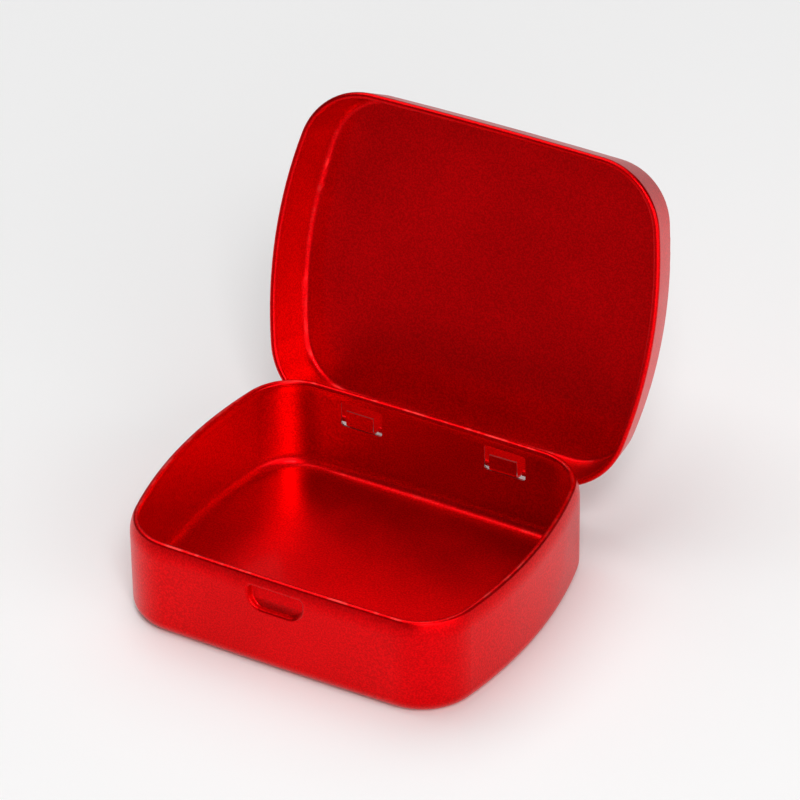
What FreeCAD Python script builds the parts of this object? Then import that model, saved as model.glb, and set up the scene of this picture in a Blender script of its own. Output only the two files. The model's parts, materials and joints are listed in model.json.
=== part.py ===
import FreeCAD, Part
import math
import os

import Sketcher
from FreeCAD import Vector

# A small hinged tin box, pressed from tinplate: a base pan and a lid pan.  Each
# pan is one sheet with a flat floor, a rounded bend where the wall rises and an
# edge that is rolled inward into a hollow bead.  At the back of the lid two tabs
# carry its skirt on, over the lower edges of two windows in the back wall of the
# base, and stand up inside while the lid is open.  That is all of the hinge.
# Millimetres and degrees; +Z is up and -Y is the front, with the thumb recess.

SIZES = {
    # the sheet and its rolled edge
    "gauge": 0.3,
    "bead_width": 1.0,
    "bead_turn": 262,
    # base pan, outside
    "base_length": 58.4,
    "base_depth": 46.9,
    "base_height": 15.7,
    "corner_radius": 9.0,
    "end_bow": 70,
    "side_bow": 1000,
    "floor_radius": 2.15,
    "neck_height": 2.4,
    "neck_inset": 0.5,
    # lid pan; the clearances lie between the wall of the base and the lid's bead
    "lid_height": 8.2,
    "lid_draft": 12,
    "plate_radius": 1.5,
    "end_clearance": 0.8,
    "side_clearance": 0.45,
    "open_angle": 109.3,
    # thumb recess in the front wall; its depth is that at the lower lip
    "thumb_width": 8.8,
    "thumb_height": 3.8,
    "thumb_corner": 2.4,
    "thumb_shoulder": 0.6,
    "thumb_depth": 0.7,
    "thumb_lean": 10,
    "thumb_draft": 20,
    "thumb_drop": 1.6,
    "thumb_lip": 0.42,
    "thumb_fold": 0.25,
    # hinge: the lid's tabs, and the windows in the back wall that they go through
    "tab_width": 4.5,
    "tab_spacing": 23.8,
    "tab_relief": 0.25,
    "tab_reach": 0.8,
    "tab_radius": 0.9,
    "tab_height": 2.15,
    "window_play": 1.15,
    "window_height": 4.3,
    "window_corner": 0.5,
    "window_drop": 2.6,
    "edge_clearance": 0.13,
    "stop_gap": 0.12,
}

doc = FreeCAD.newDocument("hinged_tin")
sheet = doc.addObject("Spreadsheet::Sheet", "Sizes")
for row, (alias, size) in enumerate(SIZES.items(), start=1):
    sheet.set(f"A{row}", alias)
    sheet.set(f"B{row}", str(size))
    sheet.setAlias(f"B{row}", alias)
doc.recompute()

# Sizes that follow from the ones in the sheet.
HALF_LENGTH = "Sizes.base_length / 2"
HALF_DEPTH = "Sizes.base_depth / 2"
BEAD_RADIUS = "Sizes.bead_width / 2"
END_STEP = "(Sizes.bead_width + Sizes.end_clearance)"
SIDE_STEP = "(Sizes.bead_width + Sizes.side_clearance)"
LID_HALF_LENGTH = f"({HALF_LENGTH} + {END_STEP})"
LID_HALF_DEPTH = f"({HALF_DEPTH} + {SIDE_STEP})"

# neck of the base: one arc that starts upright and leans in towards the bead
NECK_LEAN = "2 * atan(Sizes.neck_inset / Sizes.neck_height)"
NECK_RADIUS = f"Sizes.neck_height / sin({NECK_LEAN})"
BASE_WALL = (f"Sizes.base_height - {BEAD_RADIUS} * (1 - sin({NECK_LEAN}))"
             " - Sizes.neck_height - Sizes.floor_radius")

# skirt of the lid: from the bend at the plate, outward at its draft, to the bead
LID_WALL = (f"((Sizes.lid_height - Sizes.plate_radius - {BEAD_RADIUS}"
            f" + (Sizes.plate_radius - {BEAD_RADIUS}) * sin(Sizes.lid_draft))"
            " / cos(Sizes.lid_draft))")
PLATE_INSET = (f"({BEAD_RADIUS} + (Sizes.plate_radius - {BEAD_RADIUS}) * cos(Sizes.lid_draft)"
               f" + {LID_WALL} * sin(Sizes.lid_draft))")

# The hinge line lies in the middle of the base's sheet.  The open lid's bead is
# stop_gap off the back wall, which stops it, and that sets how far the rim of the
# closed lid lies above the hinge line.
WINDOW_FOOT = "(Sizes.base_height - Sizes.window_drop - Sizes.window_height)"
HINGE_Y = (f"({HALF_DEPTH} - Sizes.gauge / 2"
           " - (Sizes.tab_spacing / 2)^2 / (2 * Sizes.side_bow))")
SKIRT_REACH = f"({LID_HALF_DEPTH} - {HINGE_Y})"
RIM_RISE = (f"(({HALF_DEPTH} + {BEAD_RADIUS} + Sizes.stop_gap - {HINGE_Y}"
            f" - ({SKIRT_REACH} - {BEAD_RADIUS}) * cos(Sizes.open_angle))"
            f" / sin(Sizes.open_angle) - {BEAD_RADIUS})")
# centre of the tabs' bend, from the hinge line; and how low the bend is in the open lid
BEND_Y = (f"({BEAD_RADIUS} - {SKIRT_REACH} - Sizes.tab_reach * sin(Sizes.lid_draft)"
          f" + (Sizes.tab_radius - {BEAD_RADIUS}) * cos(Sizes.lid_draft))")
BEND_Z = (f"(Sizes.tab_reach * cos(Sizes.lid_draft) - {RIM_RISE} - {BEAD_RADIUS}"
          f" + (Sizes.tab_radius - {BEAD_RADIUS}) * sin(Sizes.lid_draft))")
TAB_DEPTH = (f"(Sizes.tab_radius + {BEND_Z} * cos(Sizes.open_angle)"
             f" - {BEND_Y} * sin(Sizes.open_angle))")
HINGE_Z = f"({WINDOW_FOOT} + Sizes.edge_clearance + {TAB_DEPTH})"

LAP = 1.0           # of the bent section over the flat floor
EDGE_SAMPLES = 5    # points tried along an edge, to tell which edge it is
START, END, CENTRE = 1, 2, 3
ORIGIN = (-1, 1)
X_AXIS, Y_AXIS = -1, -2


def number(formula):
    """The present value of a formula in the sheet's sizes."""
    value = sheet.evalExpression(formula)
    return float(getattr(value, "Value", value))


def new_body(label):
    body = doc.addObject("PartDesign::Body", label)
    body.Label = label
    return body


def origin_plane(body, role):
    return next(item for item in body.Origin.OriginFeatures if item.Role == role)


def new_sketch(body, name, role, turn=None, **offsets):
    """A sketch on one of the body's origin planes, moved by offsets in its own axes.

    turn is (axis, angle), both as text, for a sketch that also turns there."""
    sketch = body.newObject("Sketcher::SketchObject", f"{body.Label}_{name}")
    sketch.AttachmentSupport = [(origin_plane(body, role), "")]
    sketch.MapMode = "FlatFace"
    for axis, formula in offsets.items():
        sketch.setExpression(f"AttachmentOffset.Base.{axis}", formula)
    if turn:
        for axis in "xyz":
            sketch.setExpression(f"AttachmentOffset.Rotation.Axis.{axis}", str(int(axis == turn[0])))
        sketch.setExpression("AttachmentOffset.Rotation.Angle", turn[1])
    return sketch


def relate(sketch, kind, *items):
    sketch.addConstraint(Sketcher.Constraint(kind, *items))


def measure(sketch, kind, *items):
    """A constraint whose last item is the formula of its value."""
    *places, formula = items
    value = number(formula)
    if kind == "Angle":
        value = math.radians(value)
    index = sketch.addConstraint(Sketcher.Constraint(kind, *places, value))
    sketch.setExpression(f"Constraints[{index}]", formula)


def draw_line(sketch, start, end):
    return sketch.addGeometry(Part.LineSegment(Vector(*start, 0), Vector(*end, 0)))


def draw_arc(sketch, centre, radius, first, last):
    circle = Part.Circle(Vector(*centre, 0), Vector(0, 0, 1), radius)
    arc = Part.ArcOfCircle(circle, math.radians(first), math.radians(last))
    return sketch.addGeometry(arc)


def draw_outline(sketch, plan, inset="0"):
    """Plan of a pan: four bowed sides and four corners, each tangent to the next.

    The inset keeps every centre and shortens every radius.  The front side is
    two arcs, so that the edge of the pan has a corner where its section stands."""
    half_length, half_depth, corner, end_bow, side_bow = plan
    a, b, r, end_r, side_r = (number(formula) for formula in plan)
    less = number(inset)
    # a corner's centre lies on a circle around the centre of each side it joins
    span = math.hypot(end_r - a, side_r - b)
    reach = ((end_r - r) ** 2 - (side_r - r) ** 2 + span ** 2) / (2 * span)
    rise = math.sqrt((end_r - r) ** 2 - reach ** 2)
    cx = a - end_r + (reach * (end_r - a) + rise * (side_r - b)) / span
    cy = (rise * (end_r - a) - reach * (side_r - b)) / span
    end_tilt = math.degrees(math.atan2(cy, cx + end_r - a))
    side_tilt = math.degrees(math.atan2(cx, cy + side_r - b))

    pieces = [
        ((0, side_r - b), side_r, 270, 270 + side_tilt),
        ((cx, -cy), r, 270 + side_tilt, 360 - end_tilt),
        ((a - end_r, 0), end_r, -end_tilt, end_tilt),
        ((cx, cy), r, end_tilt, 90 - side_tilt),
        ((0, b - side_r), side_r, 90 - side_tilt, 90 + side_tilt),
        ((-cx, cy), r, 90 + side_tilt, 180 - end_tilt),
        ((end_r - a, 0), end_r, 180 - end_tilt, 180 + end_tilt),
        ((-cx, -cy), r, 180 + end_tilt, 270 - side_tilt),
        ((0, side_r - b), side_r, 270 - side_tilt, 270),
    ]
    arcs = [draw_arc(sketch, centre, radius - less, *angles)
            for centre, radius, *angles in pieces]
    for one, other in zip(arcs, arcs[1:]):
        relate(sketch, "Tangent", one, END, other, START)
    relate(sketch, "Coincident", arcs[-1], END, arcs[0], START)
    relate(sketch, "Coincident", arcs[-1], CENTRE, arcs[0], CENTRE)
    relate(sketch, "PointOnObject", arcs[0], START, Y_AXIS)
    for arc, sign in ((arcs[0], 1), (arcs[4], -1)):
        relate(sketch, "PointOnObject", arc, CENTRE, Y_AXIS)
        measure(sketch, "DistanceY", *ORIGIN, arc, CENTRE, f"{sign} * ({side_bow} - {half_depth})")
        measure(sketch, "Radius", arc, f"{side_bow} - {inset}")
    for arc, sign in ((arcs[2], -1), (arcs[6], 1)):
        relate(sketch, "PointOnObject", arc, CENTRE, X_AXIS)
        measure(sketch, "DistanceX", *ORIGIN, arc, CENTRE, f"{sign} * ({end_bow} - {half_length})")
        measure(sketch, "Radius", arc, f"{end_bow} - {inset}")
    for arc in arcs[1:8:2]:
        measure(sketch, "Radius", arc, f"{corner} - {inset}")


def draw_strip(sketch, start, heading, moves):
    """Section of the sheet as it is bent: lines and arcs, each tangent to the next.

    One skin runs from start along heading, and the other lies to its right.  A
    move is ("line", length) or ("bend", radius, turn): the radius is that of
    the first skin, and a positive turn is to the right."""
    gauge = number("Sizes.gauge")
    spot = Vector(number(start[0]), number(start[1]), 0)
    angle = math.radians(number(heading))
    skins = []
    caps = []
    for kind, size, *turns in moves:
        ahead = Vector(math.cos(angle), math.sin(angle), 0)
        right = Vector(ahead.y, -ahead.x, 0)
        caps = caps or [(spot, spot + right * gauge)]
        if kind == "line":
            after = spot + ahead * number(size)
            one = draw_line(sketch, spot[:2], after[:2])
            other = draw_line(sketch, (spot + right * gauge)[:2], (after + right * gauge)[:2])
            measure(sketch, "Distance", one, size)
            relate(sketch, "Parallel", one, other)
            skins.append((one, other, START, END))
        else:
            radius = number(size)
            turn = math.radians(number(turns[0]))
            side = math.copysign(1, turn)
            centre = spot + right * (side * radius)
            first = math.degrees(angle) + 90 * side
            sweep = sorted((first, first - math.degrees(turn)))
            one = draw_arc(sketch, centre[:2], radius, *sweep)
            other = draw_arc(sketch, centre[:2], radius - side * gauge, *sweep)
            measure(sketch, "Radius", one, size)
            measure(sketch, "Angle", one, f"abs({turns[0]})")
            relate(sketch, "Coincident", one, CENTRE, other, CENTRE)
            skins.append((one, other, END, START) if side > 0 else (one, other, START, END))
            angle -= turn
            right = Vector(math.sin(angle), -math.cos(angle), 0)
            after = centre - right * (side * radius)
        spot = after
    caps.append((spot, spot + right * gauge))
    for (one, other, _, last), (next_one, next_other, first, _) in zip(skins, skins[1:]):
        relate(sketch, "Tangent", one, last, next_one, first)
        relate(sketch, "Tangent", other, last, next_other, first)
    first_cap, last_cap = (draw_line(sketch, near[:2], far[:2]) for near, far in caps)
    line, other, first, _ = skins[0]
    relate(sketch, "Coincident", first_cap, START, line, first)
    relate(sketch, "Coincident", first_cap, END, other, first)
    relate(sketch, "Perpendicular", first_cap, line)
    measure(sketch, "Distance", first_cap, "Sizes.gauge")
    measure(sketch, "DistanceX", *ORIGIN, line, first, start[0])
    measure(sketch, "DistanceY", *ORIGIN, line, first, start[1])
    measure(sketch, "Angle", line, heading)
    one, other, _, last = skins[-1]
    relate(sketch, "Coincident", last_cap, START, one, last)
    relate(sketch, "Coincident", last_cap, END, other, last)
    if moves[-1][0] == "line":
        relate(sketch, "Perpendicular", last_cap, one)
    else:
        relate(sketch, "PointOnObject", one, CENTRE, last_cap)


def draw_panel(sketch, half_width, low, high, low_corner, high_corner):
    """Upright rectangle around the sketch's Y axis, with rounded corners."""
    w, y0, y1, r0, r1 = (number(item) for item in
                         (half_width, low, high, low_corner, high_corner))
    lines = [
        draw_line(sketch, (r0 - w, y0), (w - r0, y0)),
        draw_line(sketch, (w, y0 + r0), (w, y1 - r1)),
        draw_line(sketch, (w - r1, y1), (r1 - w, y1)),
        draw_line(sketch, (-w, y1 - r1), (-w, y0 + r0)),
    ]
    corners = [
        draw_arc(sketch, (w - r0, y0 + r0), r0, 270, 360),
        draw_arc(sketch, (w - r1, y1 - r1), r1, 0, 90),
        draw_arc(sketch, (r1 - w, y1 - r1), r1, 90, 180),
        draw_arc(sketch, (r0 - w, y0 + r0), r0, 180, 270),
    ]
    for index, corner in enumerate(corners):
        relate(sketch, "Tangent", lines[index], END, corner, START)
        relate(sketch, "Tangent", corner, END, lines[(index + 1) % 4], START)
    for level, upright in ((lines[0], lines[1]), (lines[2], lines[3])):
        relate(sketch, "Horizontal", level)
        relate(sketch, "Vertical", upright)
    for corner, radius in zip(corners, (low_corner, high_corner, high_corner, low_corner)):
        measure(sketch, "Radius", corner, radius)
    measure(sketch, "DistanceY", *ORIGIN, lines[0], START, low)
    measure(sketch, "DistanceY", *ORIGIN, lines[2], START, high)
    measure(sketch, "DistanceX", *ORIGIN, lines[1], START, half_width)
    measure(sketch, "DistanceX", *ORIGIN, lines[3], START, f"-({half_width})")


def add_feature(body, kind, name, **settings):
    feature = body.newObject(f"PartDesign::{kind}", f"{body.Label}_{name}")
    for setting, value in settings.items():
        setattr(feature, setting, value)
    return feature


def round_edges(body, name, radius, points_fit):
    """Fillet of the edges whose points all pass the test points_fit."""
    edges = [f"Edge{index}" for index, edge in enumerate(body.Shape.Edges, start=1)
             if all(points_fit(point) for point in edge.discretize(EDGE_SAMPLES))]
    fillet = add_feature(body, "Fillet", name, Base=(body.Tip, edges))
    fillet.setExpression("Radius", radius)
    doc.recompute()


def mirror_across_middle(body, name, feature):
    mirror = add_feature(body, "Mirrored", name, Originals=[feature], Refine=True,
                         MirrorPlane=(origin_plane(body, "YZ_Plane"), [""]))
    body.Tip = mirror
    doc.recompute()


def press_pan(body, plan, middle, floor, inset, moves):
    """One pan: the sheet's section carried around its edge, and the flat floor.

    middle is where the plan is centred along Y, floor the height of the outer
    face, and inset how far in from the edge the floor's bend begins."""
    edge = new_sketch(body, "edge", "XY_Plane", y=middle, z=floor)
    draw_outline(edge, plan)
    section = new_sketch(body, "section", "YZ_Plane")
    start = (f"{middle} - {plan[1]} + {inset} + {LAP}", floor)
    draw_strip(section, start, "180", [("line", str(LAP)), *moves])
    doc.recompute()
    add_feature(body, "AdditivePipe", "wall", Profile=section, Spine=(edge, []), Refine=True)
    doc.recompute()
    plate = new_sketch(body, "plate", "XY_Plane", y=middle, z=floor)
    draw_outline(plate, plan, f"({inset} + {LAP} / 2)")
    pad = add_feature(body, "Pad", "floor", Profile=plate, Refine=True)
    pad.setExpression("Length", "Sizes.gauge")
    doc.recompute()


def make_base():
    body = new_body("base")
    plan = (HALF_LENGTH, HALF_DEPTH, "Sizes.corner_radius", "Sizes.end_bow", "Sizes.side_bow")
    press_pan(body, plan, "0", "0", "Sizes.floor_radius", [
        ("bend", "Sizes.floor_radius", "90"),
        ("line", BASE_WALL),
        ("bend", NECK_RADIUS, NECK_LEAN),
        ("bend", BEAD_RADIUS, "Sizes.bead_turn"),
    ])
    press_thumb_recess(body)
    cut_windows(body)
    return body


def press_thumb_recess(body):
    """A half-moon dent, deeper towards the rim: the sheet bulges inward around it.

    Each of the two forms is lofted from an upright outline in or before the
    wall to a smaller one on the leaning floor."""
    high = "Sizes.base_height - Sizes.thumb_drop"
    low = f"({high} - Sizes.thumb_height)"
    half = "Sizes.thumb_width / 2"
    slope = "tan(Sizes.thumb_draft)"
    lean = ("x", "-Sizes.thumb_lean")

    def section(name, depth, grow, turn=None):
        """The dent's outline at a depth below the wall's face, widened all round by grow."""
        wider = f"({grow} - ({depth}) * {slope})"
        foot = "0" if turn else low
        sketch = new_sketch(body, name, "XZ_Plane", turn, z=f"{HALF_DEPTH} - ({depth})")
        if turn:
            sketch.setExpression("AttachmentOffset.Base.y", low)
        draw_panel(sketch, f"{half} + {wider}", f"{foot} - {wider}",
                   f"{foot} + Sizes.thumb_height + {wider}",
                   f"Sizes.thumb_corner + {wider}", "Sizes.thumb_shoulder")
        return sketch

    bulge_root = "Sizes.gauge * 0.8"
    bulge_floor = "Sizes.thumb_depth + Sizes.gauge / cos(Sizes.thumb_lean)"
    bulge = [section("bulge_mouth", bulge_root, "Sizes.gauge"),
             section("bulge_floor", bulge_floor, "Sizes.gauge", lean)]
    dent = [section("dent_mouth", "-Sizes.gauge", "0"),
            section("dent_floor", "Sizes.thumb_depth", "0", lean)]
    doc.recompute()
    for kind, name, sections in (("AdditiveLoft", "thumb_bulge", bulge),
                                 ("SubtractiveLoft", "thumb_dent", dent)):
        add_feature(body, kind, name, Profile=sections[0], Sections=sections[1:], Ruled=True,
                    Refine=True)
        doc.recompute()

    reach = number(f"{half} + Sizes.gauge")
    face = number(f"-({HALF_DEPTH})")
    foot = number(low)
    top = number(f"{high} + Sizes.gauge")
    depth = number("Sizes.thumb_depth")
    gauge = number("Sizes.gauge")
    tilt = math.radians(number("Sizes.thumb_lean"))

    def below_lip(point):
        """How far a point lies below the lip, square to the leaning floor."""
        return (point.y - face) * math.cos(tilt) - (point.z - foot) * math.sin(tilt)

    def near(point):
        return abs(point.x) < reach and foot - gauge < point.z < top

    floor = depth * math.cos(tilt)
    slack = gauge / 10
    round_edges(body, "thumb_lip", "Sizes.thumb_lip",
                lambda point: near(point) and point.y - face < depth / 2)
    round_edges(body, "thumb_floor", "Sizes.thumb_fold",
                lambda point: near(point) and abs(below_lip(point) - floor) < slack)
    round_edges(body, "thumb_back", "Sizes.thumb_fold + Sizes.gauge",
                lambda point: near(point) and abs(below_lip(point) - floor - gauge) < slack)


def cut_windows(body):
    window = new_sketch(body, "window", "XZ_Plane", x="Sizes.tab_spacing / 2")
    draw_panel(window, "Sizes.tab_width / 2 + Sizes.window_play", WINDOW_FOOT,
               f"{WINDOW_FOOT} + Sizes.window_height", "Sizes.window_corner", "Sizes.window_corner")
    pocket = add_feature(body, "Pocket", "window_right", Profile=window, Type="ThroughAll",
                         Refine=True)
    doc.recompute()
    mirror_across_middle(body, "window_left", pocket)


def make_lid():
    """The lid pan, drawn with its open side up and its origin on the hinge line."""
    body = new_body("lid")
    plan = (LID_HALF_LENGTH, LID_HALF_DEPTH, f"(Sizes.corner_radius + {END_STEP})",
            f"(Sizes.end_bow + {END_STEP})", f"(Sizes.side_bow + {SIDE_STEP})")
    floor = f"-({RIM_RISE} + Sizes.lid_height)"
    press_pan(body, plan, HINGE_Y, floor, PLATE_INSET, [
        ("bend", "Sizes.plate_radius", "90 - Sizes.lid_draft"),
        ("line", LID_WALL),
        ("bend", BEAD_RADIUS, "Sizes.lid_draft + Sizes.bead_turn"),
    ])
    bend_tabs(body)
    body.setExpression("Placement.Base.y", HINGE_Y)
    body.setExpression("Placement.Base.z", HINGE_Z)
    body.setExpression("Placement.Rotation.Axis.x", "1")
    body.setExpression("Placement.Rotation.Axis.z", "0")
    body.setExpression("Placement.Rotation.Angle", "180 - Sizes.open_angle")
    return body


def bend_tabs(body):
    """Cut the bead away over each tab's width, and carry the skirt on as the tab.

    Like that skirt, a tab follows the bow of the lid's back edge: its section
    is turned about the centre of the bow.  Its end stands upright in the open lid."""
    bow_radius = f"(Sizes.side_bow + {SIDE_STEP})"
    notch = new_sketch(body, "notch", "XZ_Plane", x="Sizes.tab_spacing / 2")
    draw_panel(notch, "Sizes.tab_width / 2 + Sizes.tab_relief",
               f"-({RIM_RISE} + Sizes.bead_width + Sizes.tab_relief)",
               "Sizes.bead_width", "Sizes.tab_relief", "Sizes.tab_relief")
    cut = add_feature(body, "Pocket", "notch_right", Profile=notch, Reversed=True,
                      Type="ThroughAll", Refine=True)
    doc.recompute()
    mirror_across_middle(body, "notch_left", cut)

    inner = "(Sizes.tab_spacing - Sizes.tab_width) / 2"
    outer = "(Sizes.tab_spacing + Sizes.tab_width) / 2"
    first_turn = f"asin({inner} / {bow_radius})"
    last_turn = f"asin({outer} / {bow_radius})"
    strip = new_sketch(body, "tab", "YZ_Plane", ("y", first_turn),
                       x=f"{bow_radius} - {SKIRT_REACH}")
    root = "(Sizes.bead_width + Sizes.tab_relief)"
    start = (f"-{bow_radius} + {BEAD_RADIUS} * (1 - cos(Sizes.lid_draft))"
             f" + {root} * sin(Sizes.lid_draft)",
             f"-{RIM_RISE} - {BEAD_RADIUS} * (1 + sin(Sizes.lid_draft))"
             f" - {root} * cos(Sizes.lid_draft)")
    draw_strip(strip, start, "90 + Sizes.lid_draft", [
        ("line", f"{root} + Sizes.tab_reach"),
        ("bend", "Sizes.tab_radius", "180 - Sizes.open_angle + Sizes.lid_draft"),
        ("line", "Sizes.tab_height"),
    ])
    tab = add_feature(body, "Revolution", "tab_right", Profile=strip,
                      ReferenceAxis=(strip, ["V_Axis"]), Refine=True)
    tab.setExpression("Angle", f"{last_turn} - {first_turn}")
    doc.recompute()
    mirror_across_middle(body, "tab_left", tab)


def check(items):
    for item in doc.Objects:
        if {"Invalid", "Error"} & set(item.State):
            raise RuntimeError(f"{item.Name} did not build")
    for item in items:
        shape = item.Shape
        if shape.isNull() or not shape.isValid() or len(shape.Solids) != 1:
            raise RuntimeError(f"{item.Label} is not one sound solid")


parts = [make_base(), make_lid()]
doc.recompute()
check(parts)
os.makedirs("parts", exist_ok=True)
for part in parts:
    part.Shape.exportStep(f"parts/{part.Label}.step")
    print(part.Label, round(part.Shape.Volume, 2), part.Shape.BoundBox)
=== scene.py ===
import json
import math

import bpy
from mathutils import Matrix, Vector


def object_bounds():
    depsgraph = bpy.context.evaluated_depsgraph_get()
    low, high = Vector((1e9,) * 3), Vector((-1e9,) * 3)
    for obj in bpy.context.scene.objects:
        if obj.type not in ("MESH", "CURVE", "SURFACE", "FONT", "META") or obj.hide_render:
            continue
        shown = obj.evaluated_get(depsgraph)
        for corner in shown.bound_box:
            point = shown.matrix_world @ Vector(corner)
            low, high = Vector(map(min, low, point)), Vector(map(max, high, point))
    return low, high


# A small hinged tin, printed in metallic red inside and out, open on a pale floor.
# Metres and linear colours; +Z is up and -Y is the front.

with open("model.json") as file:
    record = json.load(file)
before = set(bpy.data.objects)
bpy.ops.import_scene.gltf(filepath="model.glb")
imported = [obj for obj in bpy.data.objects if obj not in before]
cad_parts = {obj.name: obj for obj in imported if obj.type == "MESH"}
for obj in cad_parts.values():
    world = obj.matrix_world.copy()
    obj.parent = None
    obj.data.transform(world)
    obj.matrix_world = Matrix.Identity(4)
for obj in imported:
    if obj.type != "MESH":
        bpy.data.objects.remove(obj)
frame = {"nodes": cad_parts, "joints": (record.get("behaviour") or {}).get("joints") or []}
cad_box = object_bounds()
scene = bpy.context.scene

# the print on the tin
DEEP_RED = (0.52, 0.0004, 0.001, 1)
LIGHT_RED = (0.92, 0.001, 0.004, 1)
# painted highlight: the pale pink painted on the rim's crest and on the turns into the plate
HIGHLIGHT_PINK = (0.90, 0.10, 0.09, 1)
BARE_TIN = (0.46, 0.36, 0.35, 1)
ROUGHNESS = (0.33, 0.39)
COAT_WEIGHT = 0.04
COAT_ROUGHNESS = 0.10
# grains per metre of each noise, and the range that a noise mostly fills
FLAKES = 3800
RIPPLE = 900
CLOUD = 70
# the noise that breaks up the rubbing and its painted highlight
RUB_AND_HIGHLIGHT_GRAINS = 420
SPREAD = (0.3, 0.7)
# how far the flakes and the clouds push the tone from deep (0) to light (1)
FLAKE_TONE = (0.15, 0.75)
CLOUD_TONE = (-0.08, 0.10)
# depth of the relief in metres, and the share of it that each noise has
RELIEF = 0.00002
RIPPLE_SHARE = 0.3
FLAKE_SHARE = 0.5
# rubbing, with a painted pink highlight: how strong it is on the rim's crest and on the turn into the
# plate, where it starts and ends in its noise, how far it reaches, and how much smoother it leaves the
# print
CREST_RUB_AND_HIGHLIGHT = 0.35
TURN_RUB_AND_HIGHLIGHT = 0.3
RUB_AND_HIGHLIGHT_NOISE = (0.50, 0.66)
CREST_REACH = 0.0002
TURN_REACH = (0.0003, 0.0009)
TURN_FACING = (0.75, 0.95)
RUB_SMOOTHING = 0.2

# cut edges that show bare tin: |x|, y and z ranges, for the windows and for the tabs
WINDOW_EDGES = ((0.0083, 0.0155), (0.0228, 0.0240), (0.0086, 0.0133))
TAB_EDGES = ((0.0094, 0.0144), (0.0222, 0.0230), (0.0098, 0.0123))

# such an edge faces less than this along Y, and the outer face more than this forwards
SIDEWAYS = 0.5
FORWARD = 0.9
# the thumb recess, in the same way, and how much more its floor leans in
RECESS = ((-0.0001, 0.0044), (-0.02342, -0.0225), (0.0102, 0.0137))
RECESS_LEAN = 0.32

FLOOR_TONE = 0.95
FLOOR_ROUGHNESS = 0.9
FLOOR_HALF = 3.0
WORLD_LIGHT = 0.12
# azimuth and elevation in degrees (0 in front, 90 on the right), distance,
# width, height, and how bright the lamp's face is
LAMPS = {
    "key": (36, 49, 0.9, 0.26, 0.26, 12.5),
    "side": (60, 20, 1.0, 1.50, 0.65, 2.1),
    "front": (-18, 10, 1.2, 0.60, 0.40, 0.25),
    "top": (-105, 70, 0.85, 0.75, 0.75, 2.1),
    "back": (190, 48, 1.0, 0.80, 0.50, 0.9),
}

AZIMUTH = math.radians(29.08)
ELEVATION = math.radians(34.83)
ROLL = math.radians(-0.82)
DISTANCE = 0.7200
PAN_RIGHT = 0.00653
PAN_UP = 0.02659
LENS = 224.8


# ---------------------------------------------------------------- materials
def add_node(tree, kind, inputs=(), **settings):
    """A new node; each input is a number, a colour or another node's output."""
    node = tree.nodes.new(f"ShaderNode{kind}")
    for name, value in settings.items():
        setattr(node, name, value)
    for key, value in dict(inputs).items():
        if isinstance(value, bpy.types.NodeSocket):
            tree.links.new(value, node.inputs[key])
        else:
            node.inputs[key].default_value = value
    return node


def calc(tree, operation, *values):
    return add_node(tree, "Math", enumerate(values), operation=operation).outputs[0]


def noise(tree, place, scale, detail):
    inputs = {"Vector": place, "Scale": scale, "Detail": detail}
    return add_node(tree, "TexNoise", inputs).outputs["Fac"]


def rise(tree, value, start, end, low=0.0, high=1.0):
    """low up to start, high from end on, and a smooth rise between."""
    inputs = {"Value": value, "From Min": start, "From Max": end, "To Min": low, "To Max": high}
    node = add_node(tree, "MapRange", inputs, interpolation_type="SMOOTHSTEP")
    return node.outputs["Result"]


def mix(tree, factor, first, second):
    node = add_node(tree, "Mix", data_type="RGBA")
    for socket, value in zip((node.inputs[0], node.inputs[6], node.inputs[7]), (factor, first, second)):
        if isinstance(value, bpy.types.NodeSocket):
            tree.links.new(value, socket)
        else:
            socket.default_value = value
    return node.outputs[2]


def inside(tree, place, ranges):
    """1 in a box given by its ranges of |x|, y and z, and 0 outside it."""
    x, y, z = add_node(tree, "SeparateXYZ", {"Vector": place}).outputs
    hit = 1.0
    for value, (low, high) in zip((calc(tree, "ABSOLUTE", x), y, z), ranges):
        hit = calc(tree, "MULTIPLY", hit, calc(tree, "GREATER_THAN", value, low))
        hit = calc(tree, "MULTIPLY", hit, calc(tree, "LESS_THAN", value, high))
    return hit


def lean_in(tree, normal, where):
    """The surface as if it leaned in more towards its lower edge."""
    down = add_node(tree, "VectorMath", {0: (0, 0, -RECESS_LEAN), "Scale": where}, operation="SCALE")
    total = add_node(tree, "VectorMath", {0: normal, 1: down.outputs[0]}, operation="ADD")
    return add_node(tree, "VectorMath", {0: total.outputs[0]}, operation="NORMALIZE").outputs[0]


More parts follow.
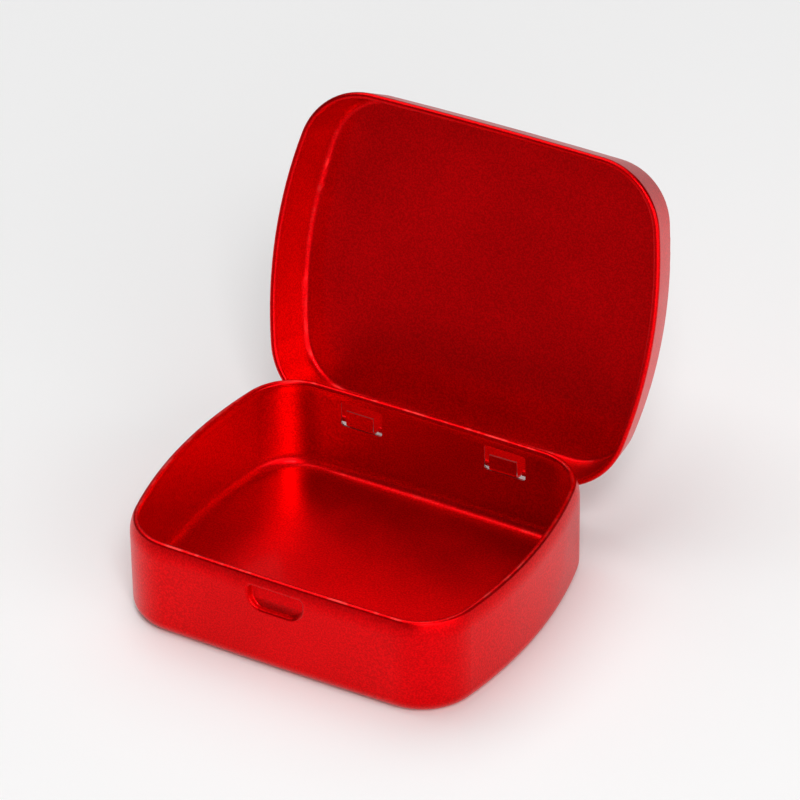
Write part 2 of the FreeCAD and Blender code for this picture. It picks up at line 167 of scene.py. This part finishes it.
def red_print(node, mouth, cut_edges):
    """Metallic red on tinplate: flakes, a slow drift of tone, rubbed edges with a painted pink
    highlight, bare cut edges.

    mouth is the direction in which the pan is open."""
    material = bpy.data.materials.new(f"red_print_{node.name}")
    material.use_nodes = True
    tree = material.node_tree
    shader = tree.nodes["Principled BSDF"]
    coordinates = add_node(tree, "TexCoord").outputs
    place = coordinates["Object"]

    flakes = noise(tree, place, FLAKES, 2)
    cloud = noise(tree, place, CLOUD, 3)
    rub_and_highlight_noise = noise(tree, place, RUB_AND_HIGHLIGHT_GRAINS, 4)

    # rubbed, and painted with a pink highlight, on the crest of the rim and, less, on the turn from the
    # side into the plate
    along, facing = [
        add_node(tree, "VectorMath", {0: value, 1: mouth}, operation="DOT_PRODUCT").outputs["Value"]
        for value in (place, coordinates["Normal"])]
    heights = [vertex.co.dot(mouth) for vertex in node.data.vertices]
    crest = rise(tree, along, max(heights) - CREST_REACH, max(heights), 0.0, CREST_RUB_AND_HIGHLIGHT)
    turn = rise(tree, along, *[min(heights) + reach for reach in TURN_REACH], TURN_RUB_AND_HIGHLIGHT, 0.0)
    turn = calc(tree, "MULTIPLY", turn,
                rise(tree, calc(tree, "ABSOLUTE", facing), *TURN_FACING, 1.0, 0.0))
    rub_and_highlight = calc(tree, "MULTIPLY", calc(tree, "ADD", crest, turn), rise(tree, rub_and_highlight_noise, *RUB_AND_HIGHLIGHT_NOISE))
    across = add_node(tree, "SeparateXYZ", {"Vector": coordinates["Normal"]}).outputs["Y"]
    sideways = calc(tree, "LESS_THAN", calc(tree, "ABSOLUTE", across), SIDEWAYS)
    cut = calc(tree, "MULTIPLY", inside(tree, place, cut_edges), sideways)

    tone = calc(tree, "ADD", rise(tree, flakes, *SPREAD, *FLAKE_TONE),
                rise(tree, cloud, *SPREAD, *CLOUD_TONE))
    colour = mix(tree, tone, DEEP_RED, LIGHT_RED)
    # painted highlight: the rubbed crest and turns are made a lighter pink
    colour = mix(tree, rub_and_highlight, colour, HIGHLIGHT_PINK)
    colour = mix(tree, cut, colour, BARE_TIN)
    roughness = rise(tree, cloud, *SPREAD, *ROUGHNESS)
    roughness = calc(tree, "SUBTRACT", roughness, calc(tree, "MULTIPLY", rub_and_highlight, RUB_SMOOTHING))
    ripples = noise(tree, place, RIPPLE, 1)
    ripple = add_node(tree, "Bump", {"Height": ripples, "Strength": RIPPLE_SHARE,
                                     "Distance": RELIEF}).outputs["Normal"]
    grain = add_node(tree, "Bump", {"Height": flakes, "Strength": FLAKE_SHARE,
                                    "Distance": RELIEF, "Normal": ripple}).outputs["Normal"]
    if node.name == "base":
        forward = calc(tree, "LESS_THAN", across, -FORWARD)
        recess = calc(tree, "MULTIPLY", inside(tree, place, RECESS), forward)
        grain = lean_in(tree, grain, recess)

    shader.inputs["Metallic"].default_value = 1.0
    shader.inputs["Coat Weight"].default_value = COAT_WEIGHT
    shader.inputs["Coat Roughness"].default_value = COAT_ROUGHNESS
    tree.links.new(colour, shader.inputs["Base Color"])
    tree.links.new(roughness, shader.inputs["Roughness"])
    tree.links.new(grain, shader.inputs["Normal"])
    return material


def pale_floor():
    material = bpy.data.materials.new("pale_floor")
    material.use_nodes = True
    tree = material.node_tree
    shader = tree.nodes["Principled BSDF"]
    shader.inputs["Base Color"].default_value = (FLOOR_TONE, FLOOR_TONE, FLOOR_TONE, 1)
    shader.inputs["Roughness"].default_value = FLOOR_ROUGHNESS
    return material


opened = math.radians(max(frame["joints"][0]["range_deg"]) if frame["joints"] else 0)
UP = Vector((0, 0, 1))
LID_MOUTH = Vector((0, -math.sin(opened), -math.cos(opened)))
for name, mouth, cut_edges in (("base", UP, WINDOW_EDGES), ("lid", LID_MOUTH, TAB_EDGES)):
    node = frame["nodes"][name]
    node.data.materials.clear()
    node.data.materials.append(red_print(node, mouth, cut_edges))


# ---------------------------------------------------------------- stage and light
def add_floor():
    corners = [(FLOOR_HALF * x, FLOOR_HALF * y, 0) for x, y in ((-1, -1), (1, -1), (1, 1), (-1, 1))]
    mesh = bpy.data.meshes.new("floor")
    mesh.from_pydata(corners, [], [(0, 1, 2, 3)])
    mesh.materials.append(pale_floor())
    floor = bpy.data.objects.new("floor", mesh)
    scene.collection.objects.link(floor)


def add_lamp(name, azimuth, elevation, distance, width, height, glow):
    """A rectangular lamp that faces the tin; glow is its brightness per area."""
    azimuth = math.radians(azimuth)
    elevation = math.radians(elevation)
    data = bpy.data.lights.new(name, "AREA")
    data.shape = "RECTANGLE"
    data.size = width
    data.size_y = height
    data.energy = glow * math.pi * width * height
    lamp = bpy.data.objects.new(name, data)
    scene.collection.objects.link(lamp)
    back = Vector((math.sin(azimuth) * math.cos(elevation),
                   -math.cos(azimuth) * math.cos(elevation), math.sin(elevation)))
    middle = (cad_box[0] + cad_box[1]) / 2
    lamp.location = middle + back * distance
    lamp.rotation_euler = back.to_track_quat("Z", "Y").to_euler()


def add_world():
    world = bpy.data.worlds.new("studio")
    world.use_nodes = True
    background = world.node_tree.nodes["Background"]
    background.inputs["Color"].default_value = (1, 1, 1, 1)
    background.inputs["Strength"].default_value = WORLD_LIGHT
    scene.world = world


def add_camera():
    back = Vector((math.sin(AZIMUTH) * math.cos(ELEVATION),
                   -math.cos(AZIMUTH) * math.cos(ELEVATION), math.sin(ELEVATION)))
    right = Vector((math.cos(AZIMUTH), math.sin(AZIMUTH), 0))
    up = back.cross(right)
    side = right * math.cos(ROLL) + up * math.sin(ROLL)
    top = up * math.cos(ROLL) - right * math.sin(ROLL)
    data = bpy.data.cameras.new("camera")
    data.lens = LENS
    data.clip_start = 0.01
    data.clip_end = 20
    camera = bpy.data.objects.new("camera", data)
    scene.collection.objects.link(camera)
    place = back * DISTANCE + right * PAN_RIGHT + up * PAN_UP
    turn = Matrix((side, top, back)).transposed()
    camera.matrix_world = Matrix.Translation(place) @ turn.to_4x4()
    scene.camera = camera


add_floor()
for name, lamp in LAMPS.items():
    add_lamp(name, *lamp)
add_world()
add_camera()
scene.view_settings.view_transform = "Standard"
